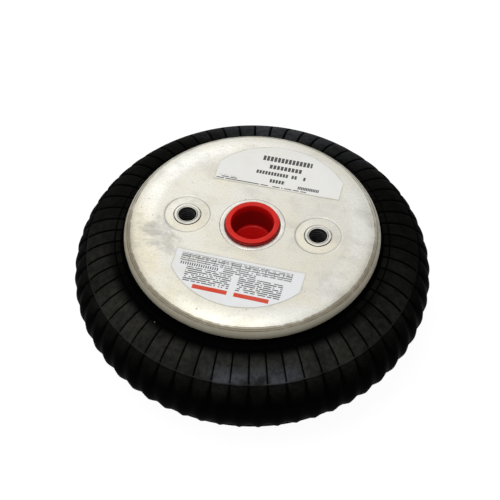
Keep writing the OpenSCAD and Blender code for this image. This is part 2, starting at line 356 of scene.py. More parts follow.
def zincFinish(name):
    z, shares, cuts = zincSet, zincSet["shares"], zincSet["cuts"]
    finish, where = newFinish(name)
    x, y = axes(where)[:2]
    away = fromAxis(x, y)
    front = ramp(y, *z["front"])
    nearHalf = ramp(y, *z["nearHalf"])
    patch = noise(where, *z["patches"])
    grain = noise(where, *z["grains"])
    soilAndShade = noise(where, *z["soilAndShadeNoise"])
    smear = noise(stretched(where, *z["smearRun"]), *z["smears"])

    reach = plus(front, z["shoulderShift"], away)
    # painted highlight: a bright band along the dome's shoulder, fainter at the front
    shoulder = minus(ramp(reach, *z["shoulderIn"]), ramp(reach, *z["shoulderOut"]))
    shoulder = times(shoulder, between(front, *z["shoulderShare"]))
    colour = mix(shoulder, z["silver"], z["bright"])
    corner = ramp(calc("ADD", x, y), *z["warmCorner"])
    warm = times(ramp(away, *z["warmDome"]), corner)
    warm = plus(warm, shares["corner"], times(ramp(patch, *cuts["warm"]), shares["warm"]), clamp=True)
    colour = mix(warm, colour, z["straw"])

    middle = Vector((*z["smearAt"], restHeight)) * mm
    spread = node("ShaderNodeVectorMath", {0: where, 1: middle}, operation="DISTANCE").outputs["Value"]
    spread = times(spread, 1 / mm)
    worn = between(ramp(spread, *z["smearReach"]), *z["smearShare"])
    worn = plus(ramp(reach, *z["wornRim"]), shares["rim"], worn)
    worn = times(ramp(smear, *cuts["smear"]), worn)
    # smudges, and painted shade that darkens the plate towards the right
    smearAndShade = plus(ramp(x, *z["rightShade"]), z["rightShadeShare"], worn)
    colour = mix(smearAndShade, colour, z["smudgeAndShadeTint"])
    colour = mix(times(ramp(grain, *cuts["grain"]), shares["grain"]), colour, z["grain"])
    scratch = noise(stretched(where, *z["scratchRun"]), *z["scratches"])
    scratch = times(ramp(scratch, *cuts["scratch"]), ramp(patch, *cuts["field"]))
    colour = mix(times(scratch, shares["scratch"]), colour, z["scratch"])
    speck = ramp(noise(where, *z["specks"]), *cuts["speck"])
    colour = mix(times(speck, shares["speck"]), colour, z["stain"])

    roll = ramp(away, creaseRadius, creaseRadius + z["rollEdge"])
    # painted shade on the roll, heavier on the near half and at the front
    paintedShade = plus(nearHalf, z["rollFront"], z["rollShare"])
    paintedShade = plus(front, z["rollFront"], paintedShade)
    colour = mix(times(roll, paintedShade), colour, z["rim"])
    # painted shade: the dome darkens softly towards the crease, most on the near half
    soft = ramp(away, plateRadius - z["creaseShadeIn"], creaseRadius)
    soft = times(soft, plus(front, z["softFront"], nearHalf))
    soft = times(soft, between(ramp(soilAndShade, *cuts["soft"]), *z["creaseShadeShare"]))
    colour = mix(soft, colour, z["soilAndShade"])
    crease = apart(away, creaseRadius)
    # dirt and painted shade along the crease, heavier on the near half
    near = times(fade(crease, *z["creaseDirtAndShade"]), between(nearHalf, *z["creaseShare"]))
    colour = mix(times(near, ramp(soilAndShade, *cuts["crease"])), colour, z["soilAndShade"])
    line = fade(apart(crease, z["lineOff"]), *z["lineHalf"])
    dirt = times(line, ramp(soilAndShade, *cuts["dirt"]), shares["dirt"])
    colour = mix(dirt, colour, z["stain"])

    fromNut = fromAxis(minus(calc("ABSOLUTE", x), nutPitch / 2), y)
    # painted shade: the near part of each seat is painted yellower and darker
    seat = times(ramp(fromNut, *z["seat"]), ramp(y, *z["seatFront"]), shares["seat"])
    colour = mix(seat, colour, z["straw"])
    # dirt and painted shade: a faint darker line along each seat's lip
    line = fade(apart(fromNut, z["seatLine"]), *z["seatHalf"])
    colour = mix(times(line, patch, shares["line"]), colour, z["smudgeAndShadeTint"])

    onRoll, bySmear, byGrain = z["roughBy"]
    rough = plus(roll, onRoll, plus(smear, bySmear, z["rough"]))
    relief = bump(plus(scratch, z["scratchDepth"], grain), *z["relief"])
    return coat(finish, colour, plus(grain, byGrain, rough), relief, metal=z["metal"])


steelSet = {
    "metal": 0.8,
    "patches": (6, 4, 0.6),
    "grains": (0.5, 2),
    "patchCut": (0.35, 0.7),
    "patchShade": 0.8,
    "crestCut": (0.5, 0.9),
    "paintedCrestGlint": 7,  # painted glint: a thread's crest against its root
    "roughBy": (0.3, 0.2),  # in a thread and by grain
    "relief": (0.02, 0.2),
    # dark: painted shade in the bores, gaps and grooves
    "boss": {"bright": tint(0.80, 0.785, 0.72), "dark": tint(0.02, 0.02, 0.02), "rough": 0.18},
    "nut": {"bright": tint(0.70, 0.68, 0.61), "dark": tint(0.0055, 0.0055, 0.0055), "rough": 0.24},
    "wire": {"bright": tint(0.50, 0.38, 0.20), "dark": tint(0.10, 0.08, 0.05), "rough": 0.30},
}


def shaded(colour, factor):
    return tint(*[factor * part for part in colour[:3]])


def steelFinish(name, bright, dark, rough):  # dark is painted shade inside a thread and in the gaps and grooves marked for it
    finish, where = newFinish(name)
    patch = noise(where, *steelSet["patches"])
    grain = noise(where, *steelSet["grains"])
    colour = mix(ramp(patch, *steelSet["patchCut"]), bright, shaded(bright, steelSet["patchShade"]))
    # painted shade in the threads, gaps and grooves, with painted glints on the crests
    thread = most(stored(where, "threadWeight"), stored(where, "soilWeight"))
    crest = ramp(stored(where, "threadCrest"), *steelSet["crestCut"])
    colour = mix(thread, colour, mix(crest, dark, shaded(dark, steelSet["paintedCrestGlint"])))
    inThread, byGrain = steelSet["roughBy"]
    rough = plus(thread, inThread, plus(grain, byGrain, rough))
    return coat(finish, colour, rough, bump(grain, *steelSet["relief"]), metal=steelSet["metal"])


rubberSet = {
    "black": tint(0.0012, 0.0012, 0.0012),
    "dusty": tint(0.0275, 0.0270, 0.0235),
    # painted sheen, bluish grey
    "sheenTint": tint(0.072, 0.0750, 0.0870),
    # painted highlight on the parting ridge
    "ridge": tint(0.023, 0.0225, 0.0205),
    # painted shade in the grooves
    "groove": tint(0.0010, 0.0010, 0.0010),
    "speck": tint(0.32, 0.30, 0.25),
    "shine": 0.002,
    "rough": 0.35,
    "clouds": (17, 5, 0.62, 0.4),
    "grains": (0.55, 2, 0.6),
    "mottles": (3.2, 5, 0.72),
    "specks": (1.5, 1, 0.3),
    "speckFields": (30, 2),
    "cuts": {"mottle": (0.3, 0.7), "paintedSheen": (0.30, 0.65), "dust": (0.22, 0.72), "ridge": (0.32, 0.72),
             "ridgeTop": (0.5, 0.85), "speck": (0.80, 0.83), "field": (0.5, 0.62)},
    "parting": (56.2, 57.4),  # height at rest, most dust lies above the parting line
    "dustFrom": 45,  # and some lies above this height
    "dustShares": (0.7, 0.3),
    "front": (30, -75),  # along Y, as are the next four
    "far": (55, 85),  # the far side catches dust again
    "neckShade": (10, -50),  # the rim shades the neck at the front
    "aside": (-70, -20),  # the grooves' painted shade is wider away from the front
    "ridgeFront": (-20, -70),
    "ridgeRight": (-10, 50),  # along X
    "ridgeShare": (1.0, 0.4),
    "frontDust": (0.22, 1.0),
    "farDust": 0.8,
    "sideDust": 0.8,
    "neck": (73, 79),  # from the axis, at the front the rim's painted shadow keeps the neck under it black
    "frontGrooveLift": (80, 89),  # from the axis, at the front the grooves' painted shade is lifted towards the bulge
    "frontGrooveLiftShare": 0.42,
    "grooveLow": (0.12, 0.40),  # edges of a groove, at the front and aside
    "grooveHigh": (0.72, 0.92),
    "frontLean": 0.21,  # the front faces a little to the right
    "squarely": (0.955, 1.012),  # how squarely it faces there, where a bluish grey sheen is painted
    "paintedSheen": (78, 88),  # from the axis
    "farCoolSheenShare": 0.6,
    "cloudDust": (0.4, 1.0),
    "mottleDust": (0.62, 1.37),
    "ribDust": (0.78, 1.23),  # from rib to rib
    "speckShare": 0.7,
    "roughBy": (0.22, 0.08),  # by clouds and by grain
    "relief": (0.05, 0.3),
}


def rubberFinish(name):
    s, cuts = rubberSet, rubberSet["cuts"]
    finish, where = newFinish(name)
    x, y = axes(where)[:2]
    away = fromAxis(x, y)
    cloud = noise(where, *s["clouds"])
    grain = noise(where, *s["grains"])
    mottle = ramp(noise(where, *s["mottles"]), *cuts["mottle"])
    level = times(stored(where, "restLevel"), 1 / mm)  # dust moves with the rubber

    above = ramp(level, *s["parting"])
    thin = ramp(level, s["dustFrom"], s["parting"][1])
    lying = plus(above, s["dustShares"][0], times(thin, s["dustShares"][1]))
    far = ramp(y, *s["far"])
    front = between(ramp(y, *s["front"]), *s["frontDust"])
    lying = times(lying, plus(far, s["farDust"], front))
    # painted shadow of the rim on the neck at the front; at the sides the neck takes a fixed share
    neckShade = ramp(y, *s["neckShade"])
    clear = ramp(away, *s["neck"])
    clear = plus(minus(1.0, neckShade), minus(s["sideDust"], clear), clear)

    # painted shade in the grooves: wider away from the front, lifted at the front's bulge
    aside = ramp(y, *s["aside"])
    land = ramp(stored(where, "landMask"), between(aside, *s["grooveLow"]),
                between(aside, *s["grooveHigh"]))
    land = most(land, times(neckShade, ramp(away, *s["frontGrooveLift"]), s["frontGrooveLiftShare"]))

    # painted sheen: bluish grey on the lands that face the front squarely, and on the far side
    facing = over(minus(times(x, s["frontLean"]), y), away)
    paintedSheen = times(ramp(facing, *s["squarely"]), ramp(away, *s["paintedSheen"]), above)
    paintedSheen = times(paintedSheen, ramp(cloud, *cuts["paintedSheen"]))
    paintedSheen = plus(far, s["farCoolSheenShare"], paintedSheen, clamp=True)
    dust = times(lying, clear, land, between(ramp(cloud, *cuts["dust"]), *s["cloudDust"]))
    dust = times(dust, between(mottle, *s["mottleDust"]))
    dust = times(dust, between(stored(where, "ribTone"), *s["ribDust"]))
    colour = mix(dust, s["black"], mix(paintedSheen, s["dusty"], s["sheenTint"]))
    colour = mix(minus(1.0, land), colour, s["groove"])

    # painted highlight along the parting ridge at the front, fainter on the right
    ridge = times(ramp(stored(where, "ridgeMask"), *cuts["ridgeTop"]), ramp(cloud, *cuts["ridge"]))
    ridge = times(ridge, ramp(y, *s["ridgeFront"]))
    ridge = times(ridge, between(ramp(x, *s["ridgeRight"]), *s["ridgeShare"]))
    colour = mix(ridge, colour, s["ridge"])
    speck = ramp(noise(where, *s["specks"]), *cuts["speck"])
    field = ramp(noise(where, *s["speckFields"]), *cuts["field"])
    colour = mix(times(speck, lying, field, s["speckShare"]), colour, s["speck"])

    byCloud, byGrain = s["roughBy"]
    rough = plus(grain, byGrain, plus(cloud, byCloud, s["rough"]))
    return coat(finish, colour, rough, bump(grain, *s["relief"]), shine=s["shine"])


mattSet = {
    "shine": 0.2,
    "rough": 0.62,
    "grains": (0.6, 2),
    "patchDetail": (4, 0.6),
    "patchCut": (0.35, 0.7),
    "patchRough": 0.2,
    "relief": (0.05, 0.3),
    "bead": {"base": tint(0.010, 0.010, 0.011), "worn": tint(0.026, 0.025, 0.023), "patchSize": 5},
    "liner": {"base": tint(0.012, 0.012, 0.013), "worn": tint(0.028, 0.027, 0.026), "patchSize": 12},
}


def mattFinish(name, base, worn, patchSize):  # hidden rubber
    finish, where = newFinish(name)
    m = mattSet
    patch = noise(where, patchSize, *m["patchDetail"])
    grain = noise(where, *m["grains"])
    colour = mix(ramp(patch, *m["patchCut"]), base, worn)
    rough = plus(patch, m["patchRough"], m["rough"])
    return coat(finish, colour, rough, bump(grain, *m["relief"]), shine=m["shine"])


cordSet = {
    "pitch": 1.2,
    "lean": 36,
    "light": tint(0.20, 0.165, 0.12),
    "dark": tint(0.05, 0.042, 0.034),
    "rough": 0.8,
    "patches": (9, 4),
    "patchShare": 0.5,
    "relief": (0.15, 0.6),
}


def cordFinish(name, lean):  # rubberised cords that lean against the axis
    finish, where = newFinish(name)
    x, y, height = axes(where)
    arc = times(calc("ARCTAN2", y, x), plateRadius)
    across = plus(height, math.tan(math.radians(lean)), arc)
    wave = calc("SINE", times(across, 2 * math.pi / cordSet["pitch"]))
    cord = between(wave, 0.5, 1.0)  # from 0 to 1
    colour = mix(cord, cordSet["dark"], cordSet["light"])
    patch = times(noise(where, *cordSet["patches"]), cordSet["patchShare"])
    colour = mix(patch, colour, cordSet["dark"])
    return coat(finish, colour, cordSet["rough"], bump(cord, *cordSet["relief"]))


capSet = {
    "flange": 14.0,
    "flangeThick": 0.8,
    "groove": 13.4,
    "grooveWide": 0.4,
    "disc": 14.3,
    "discDepth": 0.14,
    "cup": 12.5,
    "wall": 1.2,
    "taper": 1.3,
    "lipRound": 0.5,
    "edgeRound": 0.2,
    "discRound": 0.15,
    "floorRound": 1.1,
    "gate": 0.8,
    "gateRise": 0.25,
    "sharpAngle": 52,
    "segments": 160,
}

plugSet = {
    "red": tint(0.74, 0.024, 0.015),
    "deep": tint(0.64, 0.015, 0.010),
    # painted shade inside the cup: wall, deeper cup, and a milder floor
    "wall": tint(0.48, 0.003, 0.003),
    "cup": tint(0.22, 0.002, 0.002),
    "floor": tint(0.58, 0.003, 0.003),
    # painted shadow under the flange: the disc's side, then the groove
    "under": tint(0.30, 0.003, 0.003),
    "gap": tint(0.02, 0.001, 0.001),
    "scuff": tint(0.70, 0.11, 0.08),
    "scuffShare": 0.25,
    "shine": 0.2,
    "rough": 0.28,
    "clouds": (7, 4, 0.6),
    "grains": (0.35, 2),
    "scuffs": (5, 3),
    "cloudCut": (0.35, 0.7),
    "scuffCut": (0.66, 0.74),
    "cloudRough": 0.18,
    "relief": (0.03, 0.25),
    "scuffRun": ((1, 9, 3), 20),
    "wallAt": (-0.5, -1.2),  # from the top, where painted shade down the cup's wall begins
    "cupAt": (-2, -6),
    "floorAt": (2.8, 1.6),  # from the base, where a milder painted shade covers the cup's floor
    "edge": 0.1,
}


def plugFinish(name):
    p = plugSet
    finish, where = newFinish(name)
    x, y, height = axes(where)
    away = fromAxis(x, y)
    fromTop = minus(height, restHeight + plugTop)
    fromBase = minus(height, restHeight - plugFloor)
    cloud = noise(where, *p["clouds"])
    colour = mix(ramp(cloud, *p["cloudCut"]), p["red"], p["deep"])
    # painted shade down the inside of the cup, milder on its floor
    inner = calc("LESS_THAN", away, capSet["cup"])
    colour = mix(times(inner, ramp(fromTop, *p["wallAt"])), colour, p["wall"])
    colour = mix(ramp(fromTop, *p["cupAt"]), colour, p["cup"])
    # painted shadow under the flange, darkest in the groove
    below = ramp(fromTop, p["edge"] - capSet["flangeThick"], -p["edge"] - capSet["flangeThick"])
    below = times(below, minus(1.0, inner))
    disc = ramp(away, capSet["flange"] - p["edge"], capSet["flange"] + p["edge"])
    colour = mix(below, colour, mix(disc, p["gap"], p["under"]))
    colour = mix(ramp(fromBase, *p["floorAt"]), colour, p["floor"])
    scuff = noise(stretched(where, *p["scuffRun"]), *p["scuffs"])
    colour = mix(times(ramp(scuff, *p["scuffCut"]), p["scuffShare"]), colour, p["scuff"])
    relief = bump(noise(where, *p["grains"]), *p["relief"])
    rough = plus(cloud, p["cloudRough"], p["rough"])
    return coat(finish, colour, rough, relief, shine=p["shine"])


labelSet = {  # a box is left, right, bottom and top on the label
    "ink": tint(0.04, 0.04, 0.04),
    "inkShare": 0.93,
    "stripe": tint(0.70, 0.045, 0.004),
    "edge": tint(0.40, 0.33, 0.20),
    "edgeWide": (0.15, 0.6),
    "shine": 0.1,
    "rough": 0.34,
    "clouds": (14, 4, 0.6),
    "ripples": (3, 3),
    "agedCut": (0.45, 0.75),
    "stripeWear": (0.3, 0.8),  # share of the clouds, and the least
    "cloudRough": 0.2,
    "relief": (0.04, 0.2),
    "round": 42.3,  # outline of the film
    "halfWidth": 34.2,
    "straight": 12.4,
    "gap": 1.25,  # between rows of small print
    "dash": 0.8,  # one step along a row
    "dashHeight": (0.25, 0.75),
    "dashesOut": 0.22,
    "barShare": 0.74,
    "data": {
        "centre": (0, -12.0),
        "turn": 177.4,
        "film": tint(0.89, 0.895, 0.90),
        "aged": tint(0.85, 0.83, 0.76),
        "table": (-28, 30.5, 14.6, 19.9),
        "cell": (4.5, 1.75),
        "rule": 0.22,
        "tableDashes": 0.8,
        "text": ((-25, -1.8, 22.9, 32.6), (1.8, 26, 22.9, 32.6), (-10, 8, 20.4, 22.2)),
        "ticks": (10, 30.4, 20.4, 22.2),
        "tickStep": (1.2, 0.6),
        "stripes": ((-20, -1.8, 33.4, 36.0), (1.8, 20, 33.4, 36.0)),
    },
    "type": {
        "centre": (7.0, 14.0),
        "turn": -1.3,
        "film": tint(0.92, 0.91, 0.87),
        "aged": tint(0.89, 0.865, 0.79),
        "text": ((-33, 16, 13.0, 14.2), (-32, -22, 14.2, 16.0)),
        "rows": (  # box, step along the row, share of the bars left out
            ((-11.5, 15.5, 31.0, 34.4), 2.0, 0.0),
            ((-6.8, 11.2, 25.8, 28.6), 2.0, 0.0),
            ((-13, 14, 21.2, 23.6), 1.6, 0.2),
            ((-4.6, 3.5, 16.2, 18.6), 1.6, 0.0),
            ((11, 22.4, 14.8, 16.8), 0.9, 0.0),
        ),
        "stripes": (),
    },
}


def inside(value, low, high):
    return times(calc("GREATER_THAN", value, low), calc("LESS_THAN", value, high))


def block(x, y, box):  # 1 inside the box
    left, right, bottom, top = box
    return times(inside(x, left, right), inside(y, bottom, top))


def blocks(x, y, boxes):
    return most(*[block(x, y, box) for box in boxes])


def rules(value, start, gap, width):  # a thin line every gap
    share = calc("FRACT", over(minus(value, start), gap))
    return calc("LESS_THAN", share, width / gap)


def chance(column, row):
    cell = first("ShaderNodeCombineXYZ", {"X": column, "Y": row})
    return node("ShaderNodeTexWhiteNoise", {"Vector": cell}).outputs["Value"]


def smallPrint(x, y):  # rows of broken grey dashes, no letters
    row = over(y, labelSet["gap"])
    column = calc("FLOOR", over(x, labelSet["dash"]))
    drawn = chance(column, calc("FLOOR", row))
    tall = inside(calc("FRACT", row), *labelSet["dashHeight"])
    return times(tall, calc("GREATER_THAN", drawn, labelSet["dashesOut"]))


def boldRow(x, y, box, dash, leftOut):  # a row of plain bars
    step = over(minus(x, box[0]), dash)
    drawn = chance(calc("FLOOR", step), box[2])
    bar = calc("LESS_THAN", calc("FRACT", step), labelSet["barShare"])
    return times(bar, calc("GREATER_THAN", drawn, leftOut), block(x, y, box))


def dataPrint(x, y):  # a ruled table over two columns of small print
    d = labelSet["data"]
    table = block(x, y, d["table"])
    lines = most(rules(x, d["table"][0], d["cell"][0], d["rule"]),
                 rules(y, d["table"][2], d["cell"][1], d["rule"]))
    shown = most(blocks(x, y, d["text"]), times(table, d["tableDashes"]))
    ticks = times(block(x, y, d["ticks"]), rules(x, d["ticks"][0], *d["tickStep"]))
    return most(times(smallPrint(x, y), shown), ticks, times(table, lines))


def typePrint(x, y):  # centred rows of bars over a line of small print along the edge
    d = labelSet["type"]
    dashes = smallPrint(x, minus(y, d["text"][0][2]))
    marks = times(dashes, blocks(x, y, d["text"]))
    return most(marks, *[boldRow(x, y, *row) for row in d["rows"]])


def labelFinish(name, place, printMask):
    s = labelSet
    finish, where = newFinish(name)
    centre = Vector((*place["centre"], 0)) * mm
    inputs = {"Vector": where, "Location": centre, "Rotation": (0, 0, math.radians(place["turn"]))}
    local = first("ShaderNodeMapping", inputs, vector_type="TEXTURE")
    x, y = axes(local)[:2]
    cloud = noise(where, *s["clouds"])
    colour = mix(ramp(cloud, *s["agedCut"]), place["film"], place["aged"])
    colour = mix(times(printMask(x, y), s["inkShare"]), colour, s["ink"])
    rest = calc("MINIMUM", minus(s["round"], fromAxis(x, y)),
                minus(s["halfWidth"], calc("ABSOLUTE", x)))
    rest = calc("MINIMUM", rest, minus(y, s["straight"]))
    colour = mix(times(fade(rest, *s["edgeWide"]), cloud), colour, s["edge"])
    worn = plus(cloud, *s["stripeWear"], clamp=True)
    for box in place["stripes"]:
        colour = mix(times(block(x, y, box), worn), colour, s["stripe"])
    relief = bump(noise(where, *s["ripples"]), *s["relief"])
    rough = plus(cloud, s["cloudRough"], s["rough"])
    return coat(finish, colour, rough, relief, shine=s["shine"])


finishes = {
    "plate": zincFinish("zincPlate"),
    "boss": steelFinish("zincBoss", **steelSet["boss"]),
    "nut": steelFinish("nutSteel", **steelSet["nut"]),
    "wire": steelFinish("bronzedWire", **steelSet["wire"]),
    "rubber": rubberFinish("mouldedRubber"),
    "beadRubber": mattFinish("beadRubber", **mattSet["bead"]),
    "liner": mattFinish("linerRubber", **mattSet["liner"]),
    "outerCord": cordFinish("outerCord", cordSet["lean"]),
    "innerCord": cordFinish("innerCord", -cordSet["lean"]),
    "plug": plugFinish("redPlug"),
    "data": labelFinish("dataFilm", labelSet["data"], dataPrint),
    "type": labelFinish("typeFilm", labelSet["type"], typePrint),
}
print("finishes made:", len(finishes))


# Turned pieces: one tree spins any section round the axis, and cuts a thread where its points ask for one

threadSlope = (2.9, -0.22)  # steep enough for flat roots and crests
mergeGap = 0.002 * mm


def newTree(name, sockets):
    tree = bpy.data.node_groups.new(name, "GeometryNodeTree")
    for label, kind in sockets.items():
        tree.interface.new_socket(label, in_out="INPUT", socket_type="NodeSocket" + kind)
    tree.interface.new_socket("Geometry", in_out="OUTPUT", socket_type="NodeSocketGeometry")
    return tree, tree.nodes.new("NodeGroupInput").outputs


def sampled(section, index, *names):  # values stored on the section's points
    found = []
    for name in names:
        value = source(section.id_data, "GeometryNodeInputNamedAttribute", {"Name": name}, data_type="FLOAT")
        inputs = {"Geometry": section, "Value": value.outputs["Attribute"], "Index": index}
        found.append(first("GeometryNodeSampleIndex", inputs, data_type="FLOAT", domain="POINT"))
    return found


def sectionGrid(given, stepsAround):  # a grid with one row of points for each step round the axis
    section = node("GeometryNodeObjectInfo", {"Object": given["Section"]}).outputs["Geometry"]
    size = node("GeometryNodeAttributeDomainSize", {0: section}, component="MESH")
    count = size.outputs["Point Count"]
    rows = calc("ADD", stepsAround, 1.0)
    grid = node("GeometryNodeMeshGrid", {"Vertices X": rows, "Vertices Y": count}).outputs["Mesh"]
    index = source(section.id_data, "GeometryNodeInputIndex").outputs[0]
    step = calc("FLOOR", over(calc("ADD", index, 0.5), count))
    along = minus(index, times(step, count))
    return section, grid, step, along


def closeTree(given, grid, radius, turn, height, marks):
    x = times(radius, calc("COSINE", turn))
    y = times(radius, calc("SINE", turn))
    place = first("ShaderNodeCombineXYZ", {"X": x, "Y": y, "Z": height})
    for name, value in marks.items():
        inputs = {"Geometry": grid, "Name": name, "Value": value}
        grid = first("GeometryNodeStoreNamedAttribute", inputs, data_type="FLOAT")
    grid = first("GeometryNodeSetPosition", {"Geometry": grid, "Position": place})
    grid = first("GeometryNodeMergeByDistance", {"Geometry": grid, "Distance": mergeGap})
    grid = first("GeometryNodeSetShadeSmooth", {0: grid})
    grid = first("GeometryNodeRealizeInstances", {0: grid})
    grid = first("GeometryNodeSetMaterial", {"Geometry": grid, "Material": given["Finish"]})
    node("NodeGroupOutput", {0: grid})


def turnedTree():
    tree, given = newTree("turnedPiece", {
        "Section": "Object", "Segments": "Int", "Finish": "Material",
        "Thread Pitch": "Float", "Thread Height": "Float",
    })
    section, grid, step, along = sectionGrid(given, given["Segments"])
    turn = times(over(step, given["Segments"]), 2 * math.pi)
    # the last weight marks points where the finish paints shade
    radius, height, weight, soilAndShade = sampled(
        section, along, "sectionRadius", "sectionHeight", "threadWeight", "soilWeight")
    climb = minus(over(height, given["Thread Pitch"]),
                  over(turn, 2 * math.pi))
    ridge = calc("PINGPONG", climb, 0.5)
    ridge = plus(ridge, *threadSlope, clamp=True)
    crest = times(ridge, weight)
    cut = times(crest, given["Thread Height"])
    closeTree(given, grid, minus(radius, cut), turn, height,
              {"threadWeight": weight, "threadCrest": crest, "soilWeight": soilAndShade})
    return tree


def sectionObject(name, points, marks):  # points are (radius, height) in mm
    mesh = bpy.data.meshes.new(name)
    mesh.from_pydata([(r * mm, 0, z * mm) for r, z in points], [], [])
    marks = dict(marks)
    marks["sectionRadius"] = [r * mm for r, z in points]
    marks["sectionHeight"] = [z * mm for r, z in points]
    for label, values in marks.items():
        mesh.attributes.new(label, "FLOAT", "POINT").data.foreach_set("value", values)
    return added(name, mesh)


def settle(piece):  # what the modifiers give becomes a plain mesh
    graph = bpy.context.evaluated_depsgraph_get()
    shown = piece.evaluated_get(graph)
    plain = bpy.data.meshes.new_from_object(shown, preserve_all_data_layers=True, depsgraph=graph)
    spare = piece.data
    piece.modifiers.clear()
    piece.data = plain
    bpy.data.meshes.remove(spare)
    plain.name = piece.name
    return piece


def drop(piece):
    mesh = piece.data
    bpy.data.objects.remove(piece)
    bpy.data.meshes.remove(mesh)


def volume(mesh):
    mesh.calc_loop_triangles()
    spots = [point.co for point in mesh.vertices]
    corners = (triangle.vertices for triangle in mesh.loop_triangles)
    return sum(spots[a].dot(spots[b].cross(spots[c])) for a, b, c in corners) / 6


def grow(name, tree, section, values):
    piece = added(name, bpy.data.meshes.new(name))
    modifier = piece.modifiers.new("shape", "NODES")
    modifier.node_group = tree
    values = dict(values, Section=section)
    for item in tree.interface.items_tree:
        if item.in_out == "INPUT":
            modifier[item.identifier] = values[item.name]
    settle(piece)
    drop(section)
    if volume(piece.data) < 0:
        piece.data.flip_normals()
    return piece


spin = turnedTree()


def turned(name, points, finish, segments, closed, threads=None, pitch=1.0, ridge=0.0, paintedShade=()):
    weights = threads or [0.0] * len(points)
    # the points listed in the last argument take painted shade in the finish
    soilAndShade = [1.0 if i in paintedShade else 0.0 for i in range(len(points))]
    if closed:
        points, weights, soilAndShade = points + points[:1], weights + weights[:1], soilAndShade + soilAndShade[:1]
    section = sectionObject(name + "Section", points, {"threadWeight": weights, "soilWeight": soilAndShade})
    values = {"Segments": segments, "Finish": finish, "Thread Pitch": pitch * mm, "Thread Height": ridge * mm}
    return grow(name, spin, section, values)


def swing(radius, depth, reach, start, end, count):  # arc, 0 points at the face and 90 points outwards
    turns = [math.radians(start + (end - start) * i / count) for i in range(count + 1)]
    return [(radius + reach * math.sin(turn), depth - reach * math.cos(turn)) for turn in turns]


def underTop(points):  # from depth below the upper face to height
    return [(r, restHeight - d) for r, d in points]


def ease(low, high, value):
    share = max(0.0, min(1.0, (value - low) / (high - low)))
    return share * share * (3 - 2 * share)


# Bead plates

plateSet = {
    "sheet": 1.6,
    "faceRadius": 50.0,
    "domeRadius": 38.0,
    "creaseStep": 0.35,
    "creaseDig": 0.22,
    "creaseHalf": 0.3,
    "rollRadius": 3.8,
    "curlLeg": 2.7,
    "portHole": 17.2,
    "portEdge": 0.25,
    "seatHole": 7.2,
    "seatRadius": 11.3,
    "seatDepth": 0.42,
    "seatSlope": 0.8,  # the seat's floor turns up over this width
    "seatLip": 2.0,
    "seatBevel": 0.3,
    "holeDepth": 0.1,
    "sharpAngle": 38,
    "segments": 288,
    "seatSegments": 128,
}


def dome(radius):  # fall of the dome below the face
    reach = plateSet["domeRadius"]
    return reach - math.sqrt(reach ** 2 - (radius - plateSet["faceRadius"]) ** 2)


sheet = plateSet["sheet"]
rollAt = plateRadius - plateSet["rollRadius"]
creaseDepth = dome(creaseRadius) + plateSet["creaseStep"]
rollDepth = creaseDepth + math.sqrt(plateSet["rollRadius"] ** 2 - (creaseRadius - rollAt) ** 2)
tipAt = rollAt - plateSet["curlLeg"]
tipDepth = rollDepth + plateSet["rollRadius"] - sheet / 2


def plateSection(hole):
    face, reach, roll = plateSet["faceRadius"], plateSet["domeRadius"], plateSet["rollRadius"]
    half, edge = plateSet["creaseHalf"], plateSet["portEdge"]
    domeEnd = math.degrees(math.asin((creaseRadius - half - face) / reach))
    rollStart = math.degrees(math.asin((creaseRadius + half - rollAt) / roll))
    underEnd = math.degrees(math.asin((rollAt - face) / (reach - sheet)))
    points = [(hole, edge), (hole + 0.32 * edge, 0.32 * edge), (hole + edge, 0)] if hole else [(0, 0)]
    points += [(face * 0.7, 0)]
    points += swing(face, reach, reach, 0, domeEnd, 24)
    points += [(creaseRadius - half * 0.4, creaseDepth), (creaseRadius, creaseDepth + plateSet["creaseDig"])]
    points += swing(rollAt, rollDepth, roll, rollStart, 180, 32)
    points += swing(tipAt, tipDepth, sheet / 2, 180, 360, 10)
    points += swing(rollAt, rollDepth, roll - sheet, 180, 0, 16)
    points += swing(face, reach, reach - sheet, underEnd, 0, 12)
    return points + [(hole, sheet)]


def seatCutter(name, side, top):
    hole, reach, deep, lip, bevel, start = (plateSet[key] for key in (
        "seatHole", "seatRadius", "seatDepth", "seatLip", "seatBevel", "holeDepth"))
    points = [(0, sheet + 2), (hole, sheet + 2), (hole, start + bevel), (hole + bevel, start)]
    points += [(reach - plateSet["seatSlope"], deep * 0.92)]
    for i in range(13):  # the lip is an S curve that runs out just above the face
        points.append((reach + lip * i / 12, deep - 1.06 * deep * ease(0, 12, i)))
    points += [(reach + lip + 0.6, -3), (0, -3)]
    points = underTop(points) if top else points
    cutter = turned(name, points, finishes["plate"], plateSet["seatSegments"], False)
    cutter.data.transform(Matrix.Translation((side * nutPitch / 2 * mm, 0, 0)))
    return cutter


def beadPlate(name, cadNode, body, top):
    points = plateSection(plateSet["portHole"] if top else 0)
    plate = turned(name, underTop(points) if top else points, finishes["plate"], plateSet["segments"], top)
    for side in (-1, 1):
        cutter = seatCutter("seatCutter", side, top)
        cut = plate.modifiers.new("seat", "BOOLEAN")
        cut.solver = "EXACT"
        cut.object = cutter
        settle(plate)
        drop(cutter)
    plate.data.set_sharp_from_angle(angle=math.radians(plateSet["sharpAngle"]))
    weighted = plate.modifiers.new("evenShading", "WEIGHTED_NORMAL")
    weighted.keep_sharp = True
    settle(plate)
    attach(plate, body)
    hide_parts(cadNode)


beadPlate("topPlate", "top_bead_plate", "upper_end", True)
beadPlate("bottomPlate", "bottom_bead_plate", "lower_end", False)
print("bead plates made")


# Blind nuts and air port

